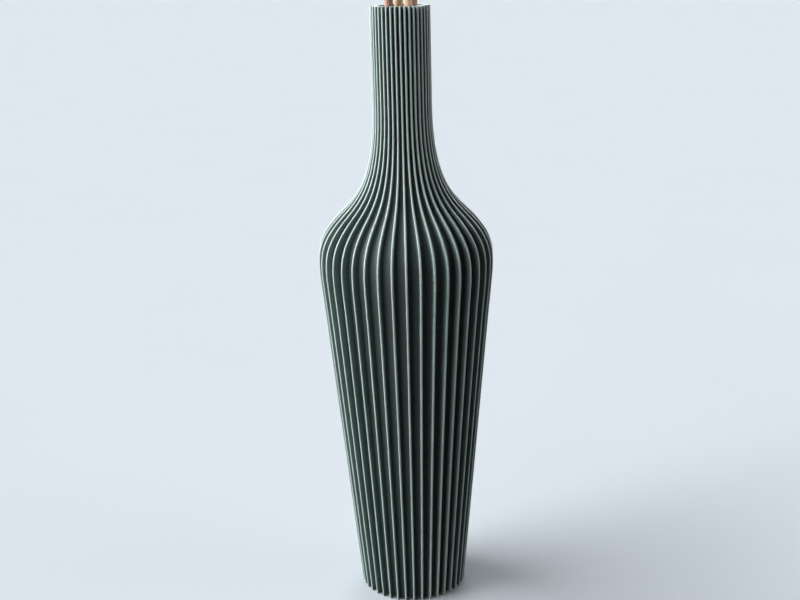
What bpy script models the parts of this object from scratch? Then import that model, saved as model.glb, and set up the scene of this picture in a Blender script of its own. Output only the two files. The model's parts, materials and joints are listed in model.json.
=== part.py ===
"""Ribbed bottle vase with three bare stems standing in its mouth.

The vase is one printed piece: a thin wall round a hollow, with a closed floor
and forty thin upright fins outside. The stems are loose and lift out.

Frame: metres, +Z up, origin at the centre of the base, one fin towards -Y.
"""

import math

import bmesh
import bpy
from mathutils import Vector

MM = 0.001

# Crest outline: what the outer edges of the fins follow, as (radius, height).
HEIGHT = 300 * MM
BASE_RADIUS = 27.4 * MM
BODY_TOP = Vector((41.3 * MM, 151 * MM))
SHOULDER_MIDDLE = Vector((32.4 * MM, 201 * MM))
NECK_FOOT = Vector((14.4 * MM, 254 * MM))
NECK_RADIUS = NECK_FOOT.x

# The shoulder leans inwards by this angle from upright where it turns from
# round to hollow. The reaches say how far each bend holds its direction.
SHOULDER_LEAN = math.radians(45)
BODY_TOP_REACH = 29 * MM
ABOVE_MIDDLE_REACH = 11.5 * MM
BELOW_MIDDLE_REACH = 20.5 * MM
NECK_FOOT_REACH = 37 * MM

# Fins: as deep and as thick as this at the neck, and a little more of both
# for each metre that the crest is further out.
FIN_COUNT = 40
NECK_FIN_DEPTH = 2.2 * MM
FIN_DEPTH_GAIN = 0.079
NECK_FIN_THICKNESS = 0.9 * MM
FIN_THICKNESS_GAIN = 0.007

WALL = 0.9 * MM
FLOOR = 2 * MM

# Straight runs of the outline are cut into few levels, bends into more.
BODY_STEPS = 4
SHOULDER_STEPS = 8
ABOVE_SHOULDER_STEPS = 7
NECK_STEPS = 2

# Stems: radius at the foot and at the tip, length, where the axis meets the
# floor, and where it passes the height of the rim.
STEM_GAP = 0.3 * MM
STEM_SIDES = 16
STEMS = {
    "stem_left": {
        "foot_radius": 2.2 * MM,
        "tip_radius": 2.05 * MM,
        "length": 360 * MM,
        "foot": (-1.4 * MM, -5 * MM),
        "mouth": (-5.0 * MM, 2.8 * MM),
        "color": (0.52, 0.36, 0.27),
    },
    "stem_middle": {
        "foot_radius": 2.2 * MM,
        "tip_radius": 2.05 * MM,
        "length": 368 * MM,
        "foot": (0.4 * MM, 2 * MM),
        "mouth": (-0.2 * MM, 8.4 * MM),
        "color": (0.62, 0.46, 0.28),
    },
    "stem_right": {
        "foot_radius": 3.2 * MM,
        "tip_radius": 3.05 * MM,
        "length": 352 * MM,
        "foot": (1.8 * MM, -12 * MM),
        "mouth": (5.1 * MM, -4.5 * MM),
        "color": (0.56, 0.36, 0.20),
    },
}

VASE_COLOR = (0.080, 0.115, 0.107)
PLASTIC_ROUGHNESS = 0.45
BARK_ROUGHNESS = 0.7

# Edges that turn by more than this are drawn sharp.
VASE_SHARP_ANGLE = math.radians(30)
STEM_SHARP_ANGLE = math.radians(40)


def clear_scene():
    """Remove every object, so that the model starts from nothing."""
    for item in list(bpy.data.objects):
        bpy.data.objects.remove(item, do_unlink=True)


def make_material(name, color, roughness):
    """Principled material of one plain colour."""
    material = bpy.data.materials.new(name)
    material.use_nodes = True
    shader = material.node_tree.nodes["Principled BSDF"]
    shader.inputs["Base Color"].default_value = (*color, 1)
    shader.inputs["Roughness"].default_value = roughness
    shader.inputs["Metallic"].default_value = 0
    return material


def bend(start, start_way, end, end_way, steps):
    """Points of a cubic curve after its start, from its ends and their handles."""
    first_handle = start + start_way
    last_handle = end - end_way
    points = []
    for step in range(1, steps + 1):
        t = step / steps
        s = 1 - t
        points.append(
            s**3 * start
            + 3 * s**2 * t * first_handle
            + 3 * s * t**2 * last_handle
            + t**3 * end
        )
    return points


def crest_outline():
    """(radius, height) of the fin crests, from the base up to the rim."""
    base = Vector((BASE_RADIUS, 0))
    body_way = (BODY_TOP - base).normalized()
    lean_way = Vector((-math.sin(SHOULDER_LEAN), math.cos(SHOULDER_LEAN)))
    neck_way = Vector((0, 1))
    rim = Vector((NECK_RADIUS, HEIGHT))
    outline = [base.lerp(BODY_TOP, step / BODY_STEPS) for step in range(BODY_STEPS + 1)]
    outline += bend(
        BODY_TOP,
        body_way * BODY_TOP_REACH,
        SHOULDER_MIDDLE,
        lean_way * BELOW_MIDDLE_REACH,
        SHOULDER_STEPS,
    )
    outline += bend(
        SHOULDER_MIDDLE,
        lean_way * ABOVE_MIDDLE_REACH,
        NECK_FOOT,
        neck_way * NECK_FOOT_REACH,
        ABOVE_SHOULDER_STEPS,
    )
    outline += [NECK_FOOT.lerp(rim, step / NECK_STEPS) for step in range(1, NECK_STEPS + 1)]
    return outline


def valley_radius(crest):
    """Radius of the wall between the fins where the crests are at this radius."""
    return crest - NECK_FIN_DEPTH - FIN_DEPTH_GAIN * (crest - NECK_RADIUS)


def inner_radius(crest):
    """Radius of the hollow where the crests are at this radius."""
    return valley_radius(crest) - WALL


def fin_section(crest):
    """Four corners of each fin in plan, anticlockwise from above, fin by fin."""
    half = (NECK_FIN_THICKNESS + FIN_THICKNESS_GAIN * (crest - NECK_RADIUS)) / 2
    root = math.sqrt(valley_radius(crest) ** 2 - half**2)
    tip = math.sqrt(crest**2 - half**2)
    points = []
    for fin in range(FIN_COUNT):
        angle = math.tau * fin / FIN_COUNT
        outward = Vector((math.sin(angle), -math.cos(angle)))
        sideways = Vector((math.cos(angle), math.sin(angle)))
        points.append(root * outward - half * sideways)
        points.append(tip * outward - half * sideways)
        points.append(tip * outward + half * sideways)
        points.append(root * outward + half * sideways)
    return points


def round_section(radius):
    """One point behind each fin, anticlockwise from above."""
    angles = [math.tau * fin / FIN_COUNT for fin in range(FIN_COUNT)]
    return [Vector((radius * math.sin(angle), -radius * math.cos(angle))) for angle in angles]


def add_ring(shape, section, height):
    """Vertices of one section at one height."""
    return [shape.verts.new((point.x, point.y, height)) for point in section]


def join_rings(shape, low, high):
    """Band of quads between two rings of equal length, facing outwards."""
    count = len(low)
    for index in range(count):
        after = (index + 1) % count
        shape.faces.new((low[index], low[after], high[after], high[index]))


def cap_ring(shape, fins, ring, upwards):
    """Flat end between the finned outline and the round ring inside it."""
    for fin in range(FIN_COUNT):
        after = (fin + 1) % FIN_COUNT
        left_root, left_tip, right_tip, right_root = fins[4 * fin : 4 * fin + 4]
        next_root = fins[4 * after]
        fin_end = [ring[fin], left_root, left_tip, right_tip, right_root]
        wall_end = [ring[fin], right_root, next_root, ring[after]]
        for corners in (fin_end, wall_end):
            shape.faces.new(corners if upwards else corners[::-1])


def build_vase(collection):
    """Loft the vase: finned outside, round inside, closed floor, open neck.

    The sections are unlike each other, because a fin keeps nearly the same
    thickness while the radius changes threefold, so the loft is made by hand.
    """
    outline = crest_outline()
    floor_crest = BASE_RADIUS + (BODY_TOP.x - BASE_RADIUS) * FLOOR / BODY_TOP.y
    inner_outline = [Vector((floor_crest, FLOOR))] + outline[1:]

    shape = bmesh.new()
    outside = [add_ring(shape, fin_section(point.x), point.y) for point in outline]
    inside = [
        add_ring(shape, round_section(inner_radius(point.x)), point.y)
        for point in inner_outline
    ]
    underside = add_ring(shape, round_section(inner_radius(BASE_RADIUS)), 0)

    for low, high in zip(outside, outside[1:]):
        join_rings(shape, low, high)
    for low, high in zip(inside, inside[1:]):
        join_rings(shape, low[::-1], high[::-1])
    cap_ring(shape, outside[-1], inside[-1], True)
    cap_ring(shape, outside[0], underside, False)
    shape.faces.new(underside[::-1])
    shape.faces.new(inside[0])

    mesh = bpy.data.meshes.new("ribbed_vase")
    shape.to_mesh(mesh)
    shape.free()
    mesh.shade_smooth()
    mesh.set_sharp_from_angle(angle=VASE_SHARP_ANGLE)
    vase = bpy.data.objects.new("ribbed_vase", mesh)
    vase.data.materials.append(make_material("green_print", VASE_COLOR, PLASTIC_ROUGHNESS))
    collection.objects.link(vase)
    return vase


def build_stem(name, stem, collection):
    """Slightly tapered round stem, its origin on its axis at its foot."""
    foot = Vector((*stem["foot"], FLOOR + STEM_GAP))
    way = (Vector((*stem["mouth"], HEIGHT)) - foot).normalized()
    foot.z += stem["foot_radius"] * math.hypot(way.x, way.y)
    shape = bmesh.new()
    bmesh.ops.create_cone(
        shape,
        cap_ends=True,
        segments=STEM_SIDES,
        radius1=stem["foot_radius"],
        radius2=stem["tip_radius"],
        depth=stem["length"],
    )
    bmesh.ops.translate(shape, verts=shape.verts, vec=(0, 0, stem["length"] / 2))
    mesh = bpy.data.meshes.new(name)
    shape.to_mesh(mesh)
    shape.free()
    mesh.shade_smooth()
    mesh.set_sharp_from_angle(angle=STEM_SHARP_ANGLE)
    item = bpy.data.objects.new(name, mesh)
    item.location = foot
    item.rotation_mode = "QUATERNION"
    item.rotation_quaternion = way.to_track_quat("Z", "Y")
    item.data.materials.append(make_material(name + "_bark", stem["color"], BARK_ROUGHNESS))
    collection.objects.link(item)
    return item


def main():
    """Build the vase and its stems in a collection of their own."""
    clear_scene()
    collection = bpy.data.collections.new("ribbed_bottle_vase")
    bpy.context.scene.collection.children.link(collection)
    build_vase(collection)
    for name, stem in STEMS.items():
        build_stem(name, stem, collection)


main()
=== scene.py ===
"""Printed bottle vase with deep upright fins and three bare stems, on a pale stage.

Laid out as an add-on: each operator builds one piece or one group of like
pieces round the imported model, and the panel in the 3D view's sidebar lists them.
"""

import json
import math

import bpy
import numpy as np
from bpy.props import FloatProperty, FloatVectorProperty, IntProperty, PointerProperty
from mathutils import Matrix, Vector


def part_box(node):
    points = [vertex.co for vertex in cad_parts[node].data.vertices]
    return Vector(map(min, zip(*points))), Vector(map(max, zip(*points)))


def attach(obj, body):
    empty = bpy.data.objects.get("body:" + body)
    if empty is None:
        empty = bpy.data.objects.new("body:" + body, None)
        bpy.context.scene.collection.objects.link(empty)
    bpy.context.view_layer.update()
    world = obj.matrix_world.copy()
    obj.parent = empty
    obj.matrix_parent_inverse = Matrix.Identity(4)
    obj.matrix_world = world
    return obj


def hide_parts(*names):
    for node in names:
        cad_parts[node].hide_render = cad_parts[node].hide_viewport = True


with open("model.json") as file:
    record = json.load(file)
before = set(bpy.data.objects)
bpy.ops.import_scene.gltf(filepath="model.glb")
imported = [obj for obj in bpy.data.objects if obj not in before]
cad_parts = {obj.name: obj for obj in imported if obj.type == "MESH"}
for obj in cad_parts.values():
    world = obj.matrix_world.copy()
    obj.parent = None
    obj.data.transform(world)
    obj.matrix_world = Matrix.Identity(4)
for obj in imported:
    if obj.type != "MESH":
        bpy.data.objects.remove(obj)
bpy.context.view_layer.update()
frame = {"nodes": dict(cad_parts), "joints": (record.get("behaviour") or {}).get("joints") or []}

bl_info = {
    "name": "Ribbed Bottle Vase",
    "version": (1, 0, 0),
    "blender": (4, 5, 0),
    "location": "View3D > Sidebar > Vase",
    "description": "Printed bottle vase with deep fins, bare stems and a pale stage",
    "category": "Add Mesh",
}

MM = 0.001
VASE_LOW, VASE_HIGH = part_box("ribbed_vase")
STEM_BODIES = {
    "stem_left": "left_stem",
    "stem_middle": "middle_stem",
    "stem_right": "right_stem",
}
STEM_SLOTS = {
    "stem_left": "pink_tan_bark",
    "stem_middle": "straw_bark",
    "stem_right": "orange_tan_bark",
}

# Rows of points along each stretch of the vase's outline.
FLARE_ROWS = 13
ROUND_BEND_ROWS = 27
HOLLOW_BEND_ROWS = 25
NECK_ROWS = 8

# Rows along a stem, points round it and leaf scars on it.
STEM_ROWS = 181
STEM_COLUMNS = 40
STEM_SCARS = 8
SCAR_LENGTH = 1.3 * MM

# The flank's outer points stand off the round tip and the fillet by this.
FLANK_HOLD = 0.15 * MM

# Noise scales, in waves for each metre.
GRAIN = 2600.0
SPECKS = 1500.0
STREAKS = 900.0
DRIFT = 90.0
PATCHES = 60.0
AREAS = 22.0

# Stage, in metres. The floor lies just under the base, so the two don't coincide.
FLOOR_RADIUS = 14
FLOOR_DROP = 0.02 * MM
BACKDROP_RADIUS = 13
BACKDROP_DEPTH = 24
STAGE_SIDES = 96
SENSOR_WIDTH = 36
LIGHT_TINT = (0.97, 0.99, 1.0)
ROOM_TINT = (0.88, 0.93, 1.0)

# Turn from the camera, height and spread of each weaker light, in degrees.
WEAK_LIGHTS = {
    "front": (-42, 8, 40),
    "fill": (84, 12, 50),
    "back": (172, 14, 50),
}


# Settings


def size(name, description, default):
    """Length in metres."""
    return FloatProperty(
        name=name, description=description, default=default, unit="LENGTH", precision=5
    )


def angle(name, description, degrees):
    """Angle, given in degrees and kept in radians."""
    return FloatProperty(
        name=name, description=description, default=math.radians(degrees), subtype="ANGLE"
    )


def number(name, description, default, **limits):
    """Plain number, with limits where it has them."""
    return FloatProperty(name=name, description=description, default=default, **limits)


def color(name, description, default):
    """Linear colour without alpha."""
    return FloatVectorProperty(
        name=name, description=description, default=default, subtype="COLOR", size=3, min=0, max=1
    )


class VaseShape(bpy.types.PropertyGroup):
    """Outline, fins and wall of the vase."""

    height: size("Height", "From the table to the rim", VASE_HIGH.z)
    base_radius: size("Base radius", "Fin crests at the base", 27.4 * MM)
    body_top_radius: size("Body top radius", "Fin crests where the straight flare ends", 41.3 * MM)
    body_top_height: size("Body top height", "Where the straight flare ends", 151 * MM)
    shoulder_radius: size("Shoulder radius", "Where the outline turns hollow", 32.4 * MM)
    shoulder_height: size("Shoulder height", "Where the outline turns hollow", 201 * MM)
    shoulder_lean: angle("Shoulder lean", "Lean from upright where the outline turns hollow", 45)
    neck_radius: size("Neck radius", "Fin crests along the neck", 14.4 * MM)
    neck_foot_height: size("Neck foot height", "Where the straight neck begins", 254 * MM)
    body_top_reach: size("Body top reach", "How far the flare holds its direction", 29 * MM)
    below_shoulder_reach: size("Reach below the shoulder", "Hold of the lean, downwards", 20.5 * MM)
    above_shoulder_reach: size("Reach above the shoulder", "Hold of the lean, upwards", 11.5 * MM)
    neck_foot_reach: size("Neck foot reach", "How far the neck holds its direction", 37 * MM)
    fin_count: IntProperty(name="Fins", description="Number of fins", default=40, min=8)
    fin_depth: size("Fin depth", "Depth of the fins at the neck", 2.2 * MM)
    fin_depth_gain: number("Fin depth gain", "Added depth for each metre of radius", 0.079)
    fin_thickness: size("Fin thickness", "Thickness of the fins at the neck", 0.9 * MM)
    fin_thickness_gain: number(
        "Fin thickness gain", "Added thickness for each metre of radius", 0.007
    )
    root_fillet: size("Root fillet", "Radius in the corner between fin and wall", 0.3 * MM)
    edge_round: size("Edge rounding", "Rounding of the rim and of the base edge", 0.18 * MM)
    wall: size("Wall", "Thickness of the wall between the fins", 0.9 * MM)
    floor: size("Floor", "Thickness of the floor", 2 * MM)


class PrintLook(bpy.types.PropertyGroup):
    """Finish of the printed plastic."""

    # Painted shade: the valley green is darker colour standing in for the shade deep between the
    # fins. It also colours the inside of the vase and its underside.
    valley: color("Valley", "Deep green between the fins", (0.062, 0.092, 0.085))
    plastic: color("Plastic", "Green of the fins' sides", (0.138, 0.190, 0.177))
    # Painted highlight: the pale crest green stands in for the light that the fin crests catch.
    crest: color("Crest", "Pale green along the fin crests", (0.262, 0.321, 0.307))
    layer: size("Layer height", "Height of one printed layer", 0.3 * MM)
    roughness: number("Roughness", "Satin of the plastic", 0.42, min=0, max=1)


class StemLook(bpy.types.PropertyGroup):
    """Shape and bark of the stems."""

    wander: size("Wander", "How far a stem strays from a straight line", 0.35 * MM)
    flute: number("Fluting", "Depth of the lengthwise ridges as a share of the radius", 0.035)
    left_bark: color("Left bark", "Pinkish tan", (0.30, 0.175, 0.135))
    middle_bark: color("Middle bark", "Straw", (0.40, 0.285, 0.175))
    right_bark: color("Right bark", "Orange tan", (0.34, 0.205, 0.13))


class StageLook(bpy.types.PropertyGroup):
    """Camera, floor and lights."""

    camera_distance: size("Camera distance", "From the vase's axis", 563.7 * MM)
    camera_height: size("Camera height", "Above the floor", 327.3 * MM)
    camera_pitch: angle("Camera pitch", "Downward tilt", 16.94)
    camera_yaw: angle("Camera yaw", "Turn to the left", 0.355)
    camera_roll: angle("Camera roll", "Turn about the view", -1.515)
    lens: number("Lens", "Focal length in mm", 52.55, min=1)
    floor: color("Floor", "Pale paper floor", (0.349, 0.372, 0.399))
    backdrop: color("Backdrop", "Pale light beyond the floor", (0.74, 0.80, 0.87))
    key: number("Key", "Broad light from the left, in W per square metre", 12)
    key_side: angle("Key side", "Turn of the key light from the camera", -93)
    key_height: angle("Key height", "Height of the key light", 22)
    key_spread: angle("Key spread", "Width of the key light", 70)
    front: number("Front", "Weak light from the front left, in W per square metre", 2.0)
    fill: number("Fill", "Weak light from the right, in W per square metre", 2.4)
    back: number("Back", "Light from behind, in W per square metre", 5)
    room: number("Room", "Strength of the light from all round", 0.045)


class VaseSettings(bpy.types.PropertyGroup):
    """Everything that the operators read."""

    shape: PointerProperty(type=VaseShape, name="Shape", description="Shape of the vase")
    plastic: PointerProperty(type=PrintLook, name="Print", description="Finish of the vase")
    stems: PointerProperty(type=StemLook, name="Stems", description="The stems")
    stage: PointerProperty(type=StageLook, name="Stage", description="Camera, floor and lights")


# Materials


class Value:
    """A number that varies over a surface. Arithmetic on it adds Math nodes."""

    def __init__(self, finish, socket):
        self.finish = finish
        self.socket = socket

    def math(self, operation, *terms):
        """Math node on the given terms."""
        settings = {"operation": operation}
        return self.finish.add("ShaderNodeMath", settings, dict(enumerate(terms)))

    def __add__(self, other):
        return self.math("ADD", self, other)

    def __radd__(self, other):
        return self.math("ADD", other, self)

    def __sub__(self, other):
        return self.math("SUBTRACT", self, other)

    def __rsub__(self, other):
        return self.math("SUBTRACT", other, self)

    def __mul__(self, other):
        return self.math("MULTIPLY", self, other)

    def __rmul__(self, other):
        return self.math("MULTIPLY", other, self)

    def __truediv__(self, other):
        return self.math("DIVIDE", self, other)

    def __gt__(self, other):
        return self.math("GREATER_THAN", self, other)

    def __lt__(self, other):
        return self.math("LESS_THAN", self, other)

    def absolute(self):
        """Its size without its sign."""
        return self.math("ABSOLUTE", self)

    def sine(self):
        """Sine of it, in radians."""
        return self.math("SINE", self)

    def between(self, low, high):
        """0 at low, 1 at high, smooth in between and held beyond."""
        settings = {"interpolation_type": "SMOOTHSTEP"}
        sockets = {"Value": self, "From Min": low, "From Max": high}
        return self.finish.add("ShaderNodeMapRange", settings, sockets)


class Finish:
    """A node material with short ways to add to it."""

    def __init__(self, name):
        self.material = bpy.data.materials.new(name)
        self.material.use_nodes = True
        self.tree = self.material.node_tree
        self.shader = self.tree.nodes["Principled BSDF"]

    def add(self, kind, settings=None, sockets=None, out=0):
        """Add a node. Its settings come first, then its sockets, and it gives one output."""
        node = self.tree.nodes.new(kind)
        for name, value in (settings or {}).items():
            setattr(node, name, value)
        for name, value in (sockets or {}).items():
            self.feed(node.inputs[name], value)
        return Value(self, node.outputs[out])

    def feed(self, socket, value):
        """Link a varying value to a socket, or set a constant on it."""
        if isinstance(value, Value):
            self.tree.links.new(value.socket, socket)
        elif isinstance(value, (int, float)):
            socket.default_value = value
        elif socket.type == "RGBA" and len(value) == 3:
            socket.default_value = (*value, 1)
        else:
            socket.default_value = value

    def surface(self, **sockets):
        """Set or link sockets of the shader, with _ for a space in their names."""
        for name, value in sockets.items():
            self.feed(self.shader.inputs[name.replace("_", " ")], value)

    def place(self):
        """The point on the piece, in its own coordinates."""
        return self.add("ShaderNodeTexCoord", out="Object")

    def attribute(self, name):
        """A number stored on the mesh."""
        return self.add("ShaderNodeAttribute", {"attribute_name": name}, out="Fac")

    def part(self, vector, axis):
        """One coordinate of a vector."""
        return self.add("ShaderNodeSeparateXYZ", sockets={0: vector}, out=axis)

    def stretch(self, vector, scale):
        """A vector scaled along each axis."""
        return self.add("ShaderNodeMapping", sockets={"Vector": vector, "Scale": scale})

    def noise(self, vector, scale, detail=2.0, roughness=0.5):
        """Noise from 0 to 1."""
        sockets = {"Vector": vector, "Scale": scale, "Detail": detail, "Roughness": roughness}
        return self.add("ShaderNodeTexNoise", sockets=sockets)

    def mix(self, share, first, second):
        """Colour between two colours."""
        settings = {"data_type": "RGBA"}
        return self.add("ShaderNodeMix", settings, {0: share, 6: first, 7: second}, out=2)

    def dim(self, tint, factor):
        """Colour multiplied by a number."""
        settings = {"operation": "SCALE"}
        return self.add("ShaderNodeVectorMath", settings, {0: tint, "Scale": factor})

    def bump(self, height, distance, strength=1.0):
        """Normal raised by a height, which is in shares of the distance."""
        sockets = {"Height": height, "Distance": distance, "Strength": strength}
        return self.add("ShaderNodeBump", sockets=sockets)


def printed_plastic(look):
    """Satin filament print: layer lines, a painted highlight along the fin crests, painted shade
    deep in the valleys and a first layer laid slantwise.
    """
    finish = Finish("green_print")
    place = finish.place()
    across, height = finish.part(place, "X"), finish.part(place, "Z")
    depth = finish.part(place, "Y")
    crest = finish.attribute("crest")

    # Each layer is a low rounded bead, a little uneven along its length.
    drift = finish.noise(place, DRIFT, 2.0)
    layers = (math.pi * (height + 0.00006 * drift) / look.layer).sine().absolute()
    # The underside shows the slanting lines of the first layer instead.
    first_layer = (math.pi * (across + depth) / (0.62 * MM)).sine().absolute()
    underside = height < 0.02 * MM
    relief = layers * (1 - underside) + first_layer * underside
    grain = finish.noise(place, GRAIN, 3.0)
    relief = relief + 0.35 * grain

    # Layers differ slightly in shade and gloss, and so do larger areas.
    bands = finish.noise(finish.stretch(place, (6.0, 6.0, 900.0)), 1.0, 3.0, 0.6)
    areas = finish.noise(place, AREAS, 3.0)
    tone = 0.86 + 0.16 * bands + 0.12 * areas
    # Painted highlight: near each fin crest the colour turns pale, standing in for the light the
    # crests catch; the same mask makes the crests slightly glossier.
    painted_crest_highlight = crest.between(0.45, 0.8)
    # Painted shade: the green darkens from the upper flanks down into the valleys. It stays at the
    # valley green inside the vase and under the base, where the rise is zero.
    tint = finish.mix(finish.attribute("rise").between(0.15, 0.8), look.valley, look.plastic)
    tint = finish.mix(painted_crest_highlight * (0.9 + 0.2 * (areas - 0.5)), tint, look.crest)
    finish.surface(
        Base_Color=finish.dim(tint, tone),
        Roughness=look.roughness + 0.10 * (bands - 0.5) + 0.08 * (grain - 0.5) - 0.04 * painted_crest_highlight,
        Normal=finish.bump(relief, 0.05 * MM, 0.6),
        IOR=1.47,
    )
    return finish.material


def dry_bark(name, bark):
    """Dry stem: lengthwise fibres, darker scars and a pale pithy cut."""
    finish = Finish(name)
    place = finish.place()
    cut = finish.attribute("cut")
    scar = finish.attribute("scar")
    fibre_place = finish.stretch(place, (1.0, 1.0, 0.02))
    fibres = finish.noise(fibre_place, GRAIN, 4.0, 0.65)
    streaks = finish.noise(fibre_place, STREAKS, 3.0)
    patches = finish.noise(place, PATCHES, 4.0, 0.6)
    specks = finish.noise(place, SPECKS, 2.0).between(0.66, 0.74)

    pale = tuple(min(1, 1.28 * part) for part in bark)
    dark = tuple(0.42 * part for part in bark)
    skin = finish.mix(streaks.between(0.30, 0.70), dark, pale)
    skin = finish.mix(0.4, skin, bark)
    skin = finish.mix(0.5 * specks, skin, dark)
    skin = finish.mix(0.7 * scar, skin, tuple(0.3 * part for part in bark))
    pith = finish.mix(cut.between(0.55, 0.95), (0.45, 0.33, 0.2), (0.78, 0.68, 0.5))
    tint = finish.mix(cut > 0.01, skin, pith)
    finish.surface(
        Base_Color=finish.dim(tint, 0.78 + 0.28 * patches + 0.16 * fibres),
        Roughness=0.62 + 0.22 * fibres,
        Normal=finish.bump(fibres + 0.4 * specks, 0.08 * MM, 0.7),
        IOR=1.45,
    )
    return finish.material


def paper_floor(tint):
    """Pale matt paper with the faintest mottle."""
    finish = Finish("pale_floor")
    place = finish.place()
    mottle = finish.noise(place, 7.0, 4.0)
    tooth = finish.noise(place, STREAKS, 2.0)
    shade = finish.mix(mottle, tint, tuple(0.97 * part for part in tint))
    finish.surface(
        Base_Color=finish.dim(shade, 0.99 + 0.02 * tooth),
        Roughness=0.9,
        Normal=finish.bump(tooth, 0.05 * MM, 0.3),
        Specular_IOR_Level=0.0,
    )
    return finish.material


def glowing_paper(tint):
    """Backlit paper with the faintest mottle."""
    finish = Finish("pale_backdrop")
    mottle = finish.noise(finish.place(), 0.1, 4.0)
    finish.surface(
        Base_Color=(0, 0, 0),
        Specular_IOR_Level=0.0,
        Emission_Color=finish.mix(mottle, tint, tuple(0.97 * part for part in tint)),
        Emission_Strength=1.0,
    )
    return finish.material


# Meshes


def ring_faces(rows, columns):
    """Quads between neighbouring rings, and triangles from the end rings to their poles.

    Point (row, column) has index row * columns + column, and the first and last
    pole come after all rings.
    """
    column = np.arange(columns)
    after = np.roll(column, -1)
    start = (np.arange(rows - 1) * columns)[:, None]
    above = start + columns
    quads = np.stack([start + column, above + column, above + after, start + after], axis=-1)
    first_pole = np.full(columns, rows * columns)
    last_pole = first_pole + 1
    last = (rows - 1) * columns
    first_fan = np.stack([first_pole, column, after], axis=-1)
    last_fan = np.stack([last_pole, last + after, last + column], axis=-1)
    return quads.reshape(-1, 4), np.concatenate([first_fan, last_fan])


def mesh_object(name, points, quads, triangles, values, material):
    """Smooth mesh object at the origin from whole arrays, with point values stored by name."""
    mesh = bpy.data.meshes.new(name)
    corners = np.concatenate([quads.ravel(), triangles.ravel()]).astype(np.int32)
    quad_starts = 4 * np.arange(len(quads))
    triangle_starts = 4 * len(quads) + 3 * np.arange(len(triangles))
    starts = np.concatenate([quad_starts, triangle_starts]).astype(np.int32)
    mesh.vertices.add(len(points))
    mesh.vertices.foreach_set("co", points.astype(np.float32).ravel())
    mesh.loops.add(len(corners))
    mesh.loops.foreach_set("vertex_index", corners)
    mesh.polygons.add(len(starts))
    mesh.polygons.foreach_set("loop_start", starts)
    mesh.update(calc_edges=True)
    mesh.validate()
    mesh.shade_smooth()
    for value_name, value in values.items():
        layer = mesh.attributes.new(value_name, "FLOAT", "POINT")
        layer.data.foreach_set("value", value.astype(np.float32).ravel())
    mesh.materials.append(material)
    item = bpy.data.objects.new(name, mesh)
    bpy.context.scene.collection.objects.link(item)
    return item


def bend(start, start_way, end, end_way, steps):
    """Cubic curve after its start: each point weighs the two ends and their handles."""
    t = np.linspace(0, 1, steps + 1)[1:, None]
    s = 1 - t
    handles = start + start_way, end - end_way
    return s**3 * start + 3 * s**2 * t * handles[0] + 3 * s * t**2 * handles[1] + t**3 * end


def crest_outline(shape):
    """(radius, height) of the crests: a straight flare, two cubic bends and a straight neck."""
    base = np.array([shape.base_radius, 0])
    body_top = np.array([shape.body_top_radius, shape.body_top_height])
    shoulder = np.array([shape.shoulder_radius, shape.shoulder_height])
    neck_foot = np.array([shape.neck_radius, shape.neck_foot_height])
    rim = np.array([shape.neck_radius, shape.height])
    flare_way = (body_top - base) / np.linalg.norm(body_top - base)
    lean_way = np.array([-math.sin(shape.shoulder_lean), math.cos(shape.shoulder_lean)])
    up = np.array([0, 1])
    flare = base + np.linspace(0, 1, FLARE_ROWS)[:, None] * (body_top - base)
    round_bend = bend(
        body_top,
        flare_way * shape.body_top_reach,
        shoulder,
        lean_way * shape.below_shoulder_reach,
        ROUND_BEND_ROWS,
    )
    hollow_bend = bend(
        shoulder,
        lean_way * shape.above_shoulder_reach,
        neck_foot,
        up * shape.neck_foot_reach,
        HOLLOW_BEND_ROWS,
    )
    neck = neck_foot + np.linspace(0, 1, NECK_ROWS)[1:, None] * (rim - neck_foot)
    return np.concatenate([flare, round_bend, hollow_bend, neck])


def valley_radius(shape, crest):
    """Radius of the wall between the fins: the crest less a depth that grows with it."""
    return crest - shape.fin_depth - shape.fin_depth_gain * (crest - shape.neck_radius)


def fin_outline(shape, crest, inset):
    """One fin and the valley after it, in plan, for each row.

    Gives the distance outwards along the fin, the distance sideways, and two
    values for each point: how near it is to the crest, within one thickness
    of it, and how far it has risen from the valley. The tip is a half circle,
    the flanks run straight inwards, and a fillet that touches the flank and
    the round wall leads into the valley. An inset shrinks the whole outline evenly.
    """
    crest = crest[:, None] - inset[:, None]
    valley = valley_radius(shape, crest + inset[:, None]) - inset[:, None]
    thickness = shape.fin_thickness + shape.fin_thickness_gain * (crest - shape.neck_radius)
    half = thickness / 2 - inset[:, None]
    fillet = shape.root_fillet

    turn = np.radians([0, 30, 60, 90])
    tip_out = crest - half + half * np.cos(turn)
    tip_side = half * np.sin(turn)
    fillet_out = np.sqrt((valley + fillet) ** 2 - (half + fillet) ** 2)
    flank_out = np.concatenate([crest - half - FLANK_HOLD, fillet_out + FLANK_HOLD], axis=1)
    flank_side = np.concatenate([half, half], axis=1)
    end_turn = np.arctan2(half + fillet, fillet_out) - math.pi
    start_turn = np.full_like(half, -math.pi / 2)
    corner = np.concatenate([start_turn, (end_turn - math.pi / 2) / 2, end_turn], axis=1)
    corner_out = fillet_out + fillet * np.cos(corner)
    corner_side = half + fillet + fillet * np.sin(corner)

    out = np.concatenate([tip_out, flank_out, corner_out], axis=1)
    side = np.concatenate([tip_side, flank_side, corner_side], axis=1)
    middle = math.pi / shape.fin_count
    out = np.concatenate([out[:, :0:-1], out, valley * math.cos(middle)], axis=1)
    side = np.concatenate([-side[:, :0:-1], side, valley * math.sin(middle)], axis=1)
    rise = np.clip((np.hypot(out, side) - valley) / (crest - valley), 0, 1)
    nearness = np.clip(1 - (crest - np.hypot(out, side)) / (2 * half), 0, 1)
    return out, side, np.stack([nearness, rise], axis=-1)


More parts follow.
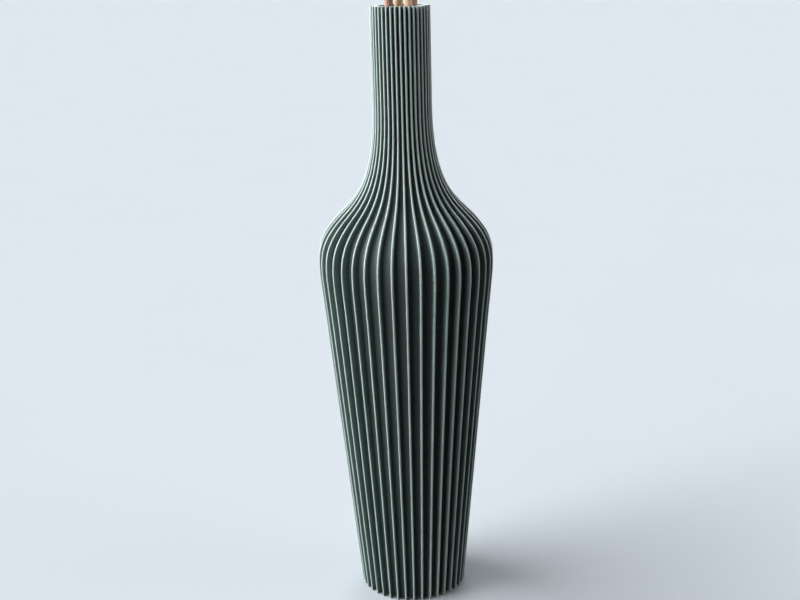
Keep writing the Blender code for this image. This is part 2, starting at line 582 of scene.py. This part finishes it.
def finned_rows(shape, crest, height, inset):
    """Points of the finned outline at each height, fin by fin, and two values for each.

    Each fin is the one outline turned about the axis by its share of a full turn.
    The values are the nearness to the crest and the rise from the valley.
    """
    out, side, values = fin_outline(shape, crest, inset)
    turn = (math.tau / shape.fin_count * np.arange(shape.fin_count))[None, :, None]
    out, side = out[:, None, :], side[:, None, :]
    x = out * np.sin(turn) + side * np.cos(turn)
    y = side * np.sin(turn) - out * np.cos(turn)
    z = np.broadcast_to(height[:, None, None], x.shape)
    rows = np.stack([x, y, z], axis=-1).reshape(len(height), -1, 3)
    values = np.broadcast_to(values[:, None], (*x.shape, 2)).reshape(-1, 2)
    return rows, values


def round_rows(radius, height, around):
    """Circles of the given radii and heights, with points in the given directions."""
    x = radius[:, None] * around[:, 0]
    y = radius[:, None] * around[:, 1]
    z = np.broadcast_to(height[:, None], x.shape)
    return np.stack([x, y, z], axis=-1)


def directions(row):
    """Unit vectors from the axis towards the points of a row."""
    return row[:, :2] / np.linalg.norm(row[:, :2], axis=1, keepdims=True)


def vase_mesh(shape):
    """Closed surface of the vase as one run of rings, and two values for each point.

    The rings start at the middle of the floor inside, climb the round inner
    wall, turn over the rim, come down the finned outside and close under the
    base. Both edges are quarter rounds, made by insetting the outline. The
    values are the nearness to the crest and the rise from the valley.
    """
    outline = crest_outline(shape)
    edge = shape.edge_round
    turn = np.radians([90, 60, 30, 0])
    rise, shrink = edge * np.sin(turn), edge * (1 - np.cos(turn))
    rim_height = shape.height - edge + rise
    base_height = (edge - rise)[::-1]
    wall_heights = outline[1:-1, 1][::-1]
    height = np.concatenate([rim_height, wall_heights, base_height])
    inset = np.concatenate([shrink, np.zeros(len(wall_heights)), shrink[::-1]])
    crest = np.interp(height, outline[:, 1], outline[:, 0])
    outside, values = finned_rows(shape, crest, height, inset)

    floor_crest = np.interp(shape.floor, outline[:, 1], outline[:, 0])
    wall_base = valley_radius(shape, floor_crest) - shape.wall
    corner = 3 * edge
    corner_turn = np.radians([0, 45])
    floor_bend = wall_base - corner * (1 - np.sin(corner_turn))
    floor_radius = np.concatenate([np.array([0.3, 0.7]) * wall_base, floor_bend])
    floor_height = shape.floor + np.concatenate([[0, 0], corner * (1 - np.cos(corner_turn))])
    climb = outline[outline[:, 1] > shape.floor + corner][::2]
    climb = climb[climb[:, 1] < shape.height - edge]
    climb_height = np.concatenate([[shape.floor + corner], climb[:, 1], rim_height[::-1]])
    climb_crest = np.interp(climb_height, outline[:, 1], outline[:, 0])
    climb_inset = np.concatenate([np.zeros(len(climb) + 1), shrink[::-1]])
    climb_radius = valley_radius(shape, climb_crest) - shape.wall + climb_inset
    inside = round_rows(
        np.concatenate([floor_radius, climb_radius]),
        np.concatenate([floor_height, climb_height]),
        directions(outside[0]),
    )
    under_radius = np.array([0.9, 0.5, 0.2]) * valley_radius(shape, shape.base_radius)
    under = round_rows(under_radius, np.zeros(3), directions(outside[-1]))

    rows = np.concatenate([inside, outside, under])
    poles = np.array([[0, 0, shape.floor], [0, 0, 0]])
    points = np.concatenate([rows.reshape(-1, 3), poles])
    all_values = np.zeros((len(points), 2))
    first = inside.shape[0] * inside.shape[1]
    all_values[first : first + len(values)] = values
    return points, rows.shape[:2], all_values


def node_axis(node):
    """Foot and tip of a straight round node, and its radius at each, read from its end rings."""
    mesh = frame["nodes"][node].data
    points = np.empty(3 * len(mesh.vertices), np.float32)
    mesh.vertices.foreach_get("co", points)
    points = np.unique(np.round(points.reshape(-1, 3).astype(float), 6), axis=0)
    joint = next(joint for joint in frame["joints"] if joint["child"] == STEM_BODIES[node])
    along = points @ np.array(joint["axis"])
    middle = (along.min() + along.max()) / 2
    ends = [points[along < middle], points[along > middle]]
    centres = [ring.mean(axis=0) for ring in ends]
    radii = [np.linalg.norm(ring - centre, axis=1).mean() for ring, centre in zip(ends, centres)]
    return centres, radii


def stem_mesh(look, node, seed):
    """Closed stem: a tube whose centre line wanders and whose radius swells at scars.

    The centre line adds two slow sine waves to the straight axis. The radius is
    the taper times lengthwise ridges, a swelling at each scar and a slow
    wobble. The tip is cut slantwise and both ends are closed by shrinking rings.
    """
    (foot, tip), (foot_radius, tip_radius) = node_axis(node)
    length = np.linalg.norm(tip - foot)
    axis = (tip - foot) / length
    side = np.cross(axis, [0, 1, 0])
    side /= np.linalg.norm(side)
    ahead = np.cross(axis, side)
    rng = np.random.default_rng(seed)

    columns = STEM_COLUMNS
    turn = np.linspace(0, math.tau, columns, endpoint=False)[None, :]
    share = np.linspace(0, 1, STEM_ROWS)[:, None]
    phases = rng.uniform(0, math.tau, 6)
    hold = np.sin(math.pi * share) ** 0.5
    sway_x = np.sin(5.1 * share + phases[0]) + 0.35 * np.sin(17 * share + phases[1])
    sway_y = np.sin(6.3 * share + phases[2]) + 0.35 * np.sin(14 * share + phases[3])
    stray_x = look.wander * hold * sway_x
    stray_y = look.wander * hold * sway_y

    scar_places = np.cumsum(rng.uniform(0.09, 0.15, STEM_SCARS))
    scar_turns = rng.uniform(0, math.tau, STEM_SCARS)
    near = np.exp(-(((share[..., None] - scar_places) * length / SCAR_LENGTH) ** 2))
    facing = 0.5 + 0.5 * np.cos(turn[..., None] - scar_turns)
    scar = (near * facing**3).sum(axis=-1)
    collar = near.sum(axis=-1)

    ridges = 1 + look.flute * np.cos(7 * turn + phases[4] + 2.2 * share)
    ridges = ridges + 0.4 * look.flute * np.cos(17 * turn - phases[5])
    wobble = 1 + 0.02 * np.sin(31 * share + phases[2])
    radius = (foot_radius + (tip_radius - foot_radius) * share) * wobble * ridges
    radius = radius * (0.98 + 0.05 * collar + 0.12 * scar)

    slant = 0.45 * tip_radius * np.cos(turn + phases[0])
    along = share * (length - 0.5 * tip_radius) + slant * np.clip((share - 0.97) / 0.03, 0, 1)
    shrink = np.array([0.96, 0.82, 0.55, 0.25])[:, None]
    sink = np.array([0.02, 0.0, 0.02, 0.06])[:, None] * tip_radius
    tip_along = (length - 0.5 * tip_radius) + slant * shrink - sink + 0.04 * tip_radius

    all_along = np.concatenate([np.zeros((4, columns)), along, tip_along])
    all_radius = np.concatenate([shrink[::-1] * radius[0], radius, shrink * radius[-1]])
    all_x = np.concatenate([np.repeat(stray_x[:1], 4, 0), stray_x, np.repeat(stray_x[-1:], 4, 0)])
    all_y = np.concatenate([np.repeat(stray_y[:1], 4, 0), stray_y, np.repeat(stray_y[-1:], 4, 0)])
    local_x = all_x + all_radius * np.cos(turn)
    local_y = all_y + all_radius * np.sin(turn)
    rows = (
        foot
        + all_along[..., None] * axis
        + local_x[..., None] * side
        + local_y[..., None] * ahead
    )
    poles = np.stack([rows[0].mean(axis=0), rows[-1].mean(axis=0)])
    points = np.concatenate([rows.reshape(-1, 3), poles])

    inward = 1 - shrink * np.ones((1, columns)) + 0.05
    cut = np.concatenate([inward[::-1], np.zeros_like(along), inward, [[1.0] * columns]])[:-1]
    cuts = np.concatenate([cut.ravel(), [1, 1]])
    scars = np.concatenate([np.zeros((4, columns)), np.clip(scar, 0, 1), np.zeros((4, columns))])
    scars = np.concatenate([scars.ravel(), [0, 0]])
    return points, rows.shape[:2], cuts, scars


# Operators


class VASE_OT_body(bpy.types.Operator):
    """Build the finned vase in place of its plain solid"""

    bl_idname = "bottle_vase.body"
    bl_label = "Vase"

    def execute(self, context):
        settings = context.scene.bottle_vase
        points, grid, point_values = vase_mesh(settings.shape)
        quads, triangles = ring_faces(*grid)
        values = {"crest": point_values[:, 0], "rise": point_values[:, 1]}
        material = printed_plastic(settings.plastic)
        vase = mesh_object("finned_vase", points, quads, triangles, values, material)
        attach(vase, "vase")
        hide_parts("ribbed_vase")
        return {"FINISHED"}


class VASE_OT_stems(bpy.types.Operator):
    """Build the three bare stems in place of their plain solids"""

    bl_idname = "bottle_vase.stems"
    bl_label = "Stems"

    def execute(self, context):
        look = context.scene.bottle_vase.stems
        barks = {
            "stem_left": look.left_bark,
            "stem_middle": look.middle_bark,
            "stem_right": look.right_bark,
        }
        for seed, (node, bark) in enumerate(barks.items()):
            points, grid, cuts, scars = stem_mesh(look, node, seed)
            quads, triangles = ring_faces(*grid)
            material = dry_bark(STEM_SLOTS[node], tuple(bark))
            values = {"cut": cuts, "scar": scars}
            stem = mesh_object("bare_" + node, points, quads, triangles, values, material)
            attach(stem, STEM_BODIES[node])
            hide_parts(node)
        return {"FINISHED"}


class VASE_OT_stage(bpy.types.Operator):
    """Set the pale floor, the soft lights and the camera"""

    bl_idname = "bottle_vase.stage"
    bl_label = "Stage"

    def execute(self, context):
        stage = context.scene.bottle_vase.stage
        self.add_floor(stage)
        self.add_backdrop(stage)
        self.add_sun("key", stage.key, stage.key_side, stage.key_height, stage.key_spread)
        for name, degrees in WEAK_LIGHTS.items():
            self.add_sun(name, getattr(stage, name), *(math.radians(part) for part in degrees))
        self.add_room(context, stage)
        self.add_camera(context, stage)
        return {"FINISHED"}

    def add_floor(self, stage):
        """Wide flat floor under the vase."""
        bpy.ops.mesh.primitive_circle_add(
            vertices=STAGE_SIDES,
            radius=FLOOR_RADIUS,
            fill_type="NGON",
            location=(0, 0, -FLOOR_DROP),
        )
        floor = bpy.context.object
        floor.name = "floor"
        floor.data.materials.append(paper_floor(tuple(stage.floor)))
        # The floor throws no light back up into the valleys.
        floor.visible_diffuse = False
        floor.visible_glossy = False

    def add_backdrop(self, stage):
        """Pale glowing wall far away, which only the camera sees, above the floor's edge."""
        bpy.ops.mesh.primitive_cylinder_add(
            vertices=STAGE_SIDES,
            radius=BACKDROP_RADIUS,
            depth=BACKDROP_DEPTH,
            end_fill_type="NOTHING",
            location=(0, 0, 0),
        )
        backdrop = bpy.context.object
        backdrop.name = "backdrop"
        backdrop.data.materials.append(glowing_paper(tuple(stage.backdrop)))
        backdrop.visible_diffuse = False
        backdrop.visible_glossy = False
        backdrop.visible_shadow = False

    def add_sun(self, name, strength, side, height, spread):
        """Soft parallel light, from a turn to the camera's right and a height."""
        light = bpy.data.lights.new(name, "SUN")
        light.energy = strength
        light.angle = spread
        light.color = LIGHT_TINT
        item = bpy.data.objects.new(name, light)
        item.rotation_euler = (math.pi / 2 - height, 0, side)
        bpy.context.scene.collection.objects.link(item)

    def add_room(self, context, stage):
        """Even pale light from all round."""
        world = bpy.data.worlds.new("room")
        world.use_nodes = True
        background = world.node_tree.nodes["Background"]
        background.inputs["Color"].default_value = (*ROOM_TINT, 1)
        background.inputs["Strength"].default_value = stage.room
        context.scene.world = world

    def add_camera(self, context, stage):
        """Camera in front of the vase, a little above the rim and looking down."""
        camera = bpy.data.cameras.new("camera")
        camera.lens = stage.lens
        camera.sensor_width = SENSOR_WIDTH
        item = bpy.data.objects.new("camera", camera)
        turn = Matrix.Rotation(stage.camera_yaw, 4, "Z")
        tilt = Matrix.Rotation(math.pi / 2 - stage.camera_pitch, 4, "X")
        roll = Matrix.Rotation(stage.camera_roll, 4, "Z")
        place = Matrix.Translation((0, -stage.camera_distance, stage.camera_height))
        item.matrix_world = place @ turn @ tilt @ roll
        context.scene.collection.objects.link(item)
        context.scene.camera = item
        context.scene.view_settings.view_transform = "Standard"


class VASE_PT_panel(bpy.types.Panel):
    """Settings and builders of the vase"""

    bl_idname = "VASE_PT_panel"
    bl_label = "Ribbed Bottle Vase"
    bl_space_type = "VIEW_3D"
    bl_region_type = "UI"
    bl_category = "Vase"

    def draw(self, context):
        settings = context.scene.bottle_vase
        for operator, group in zip(BUILDERS, ("shape", "stems", "stage")):
            box = self.layout.box()
            box.operator(operator.bl_idname)
            held = getattr(settings, group)
            for name in held.__annotations__:
                box.prop(held, name)
        box = self.layout.box()
        for name in settings.plastic.__annotations__:
            box.prop(settings.plastic, name)


SETTINGS = (VaseShape, PrintLook, StemLook, StageLook, VaseSettings)
BUILDERS = (VASE_OT_body, VASE_OT_stems, VASE_OT_stage)


def register():
    """Register every class and put the settings on the scene."""
    for item in (*SETTINGS, *BUILDERS, VASE_PT_panel):
        bpy.utils.register_class(item)
    bpy.types.Scene.bottle_vase = PointerProperty(type=VaseSettings)


def unregister():
    """Take the settings off the scene and unregister every class."""
    del bpy.types.Scene.bottle_vase
    for item in reversed((*SETTINGS, *BUILDERS, VASE_PT_panel)):
        bpy.utils.unregister_class(item)


def main():
    """Build every piece and the stage."""
    register()
    bpy.ops.bottle_vase.body()
    bpy.ops.bottle_vase.stems()
    bpy.ops.bottle_vase.stage()


if __name__ == "__main__":
    main()
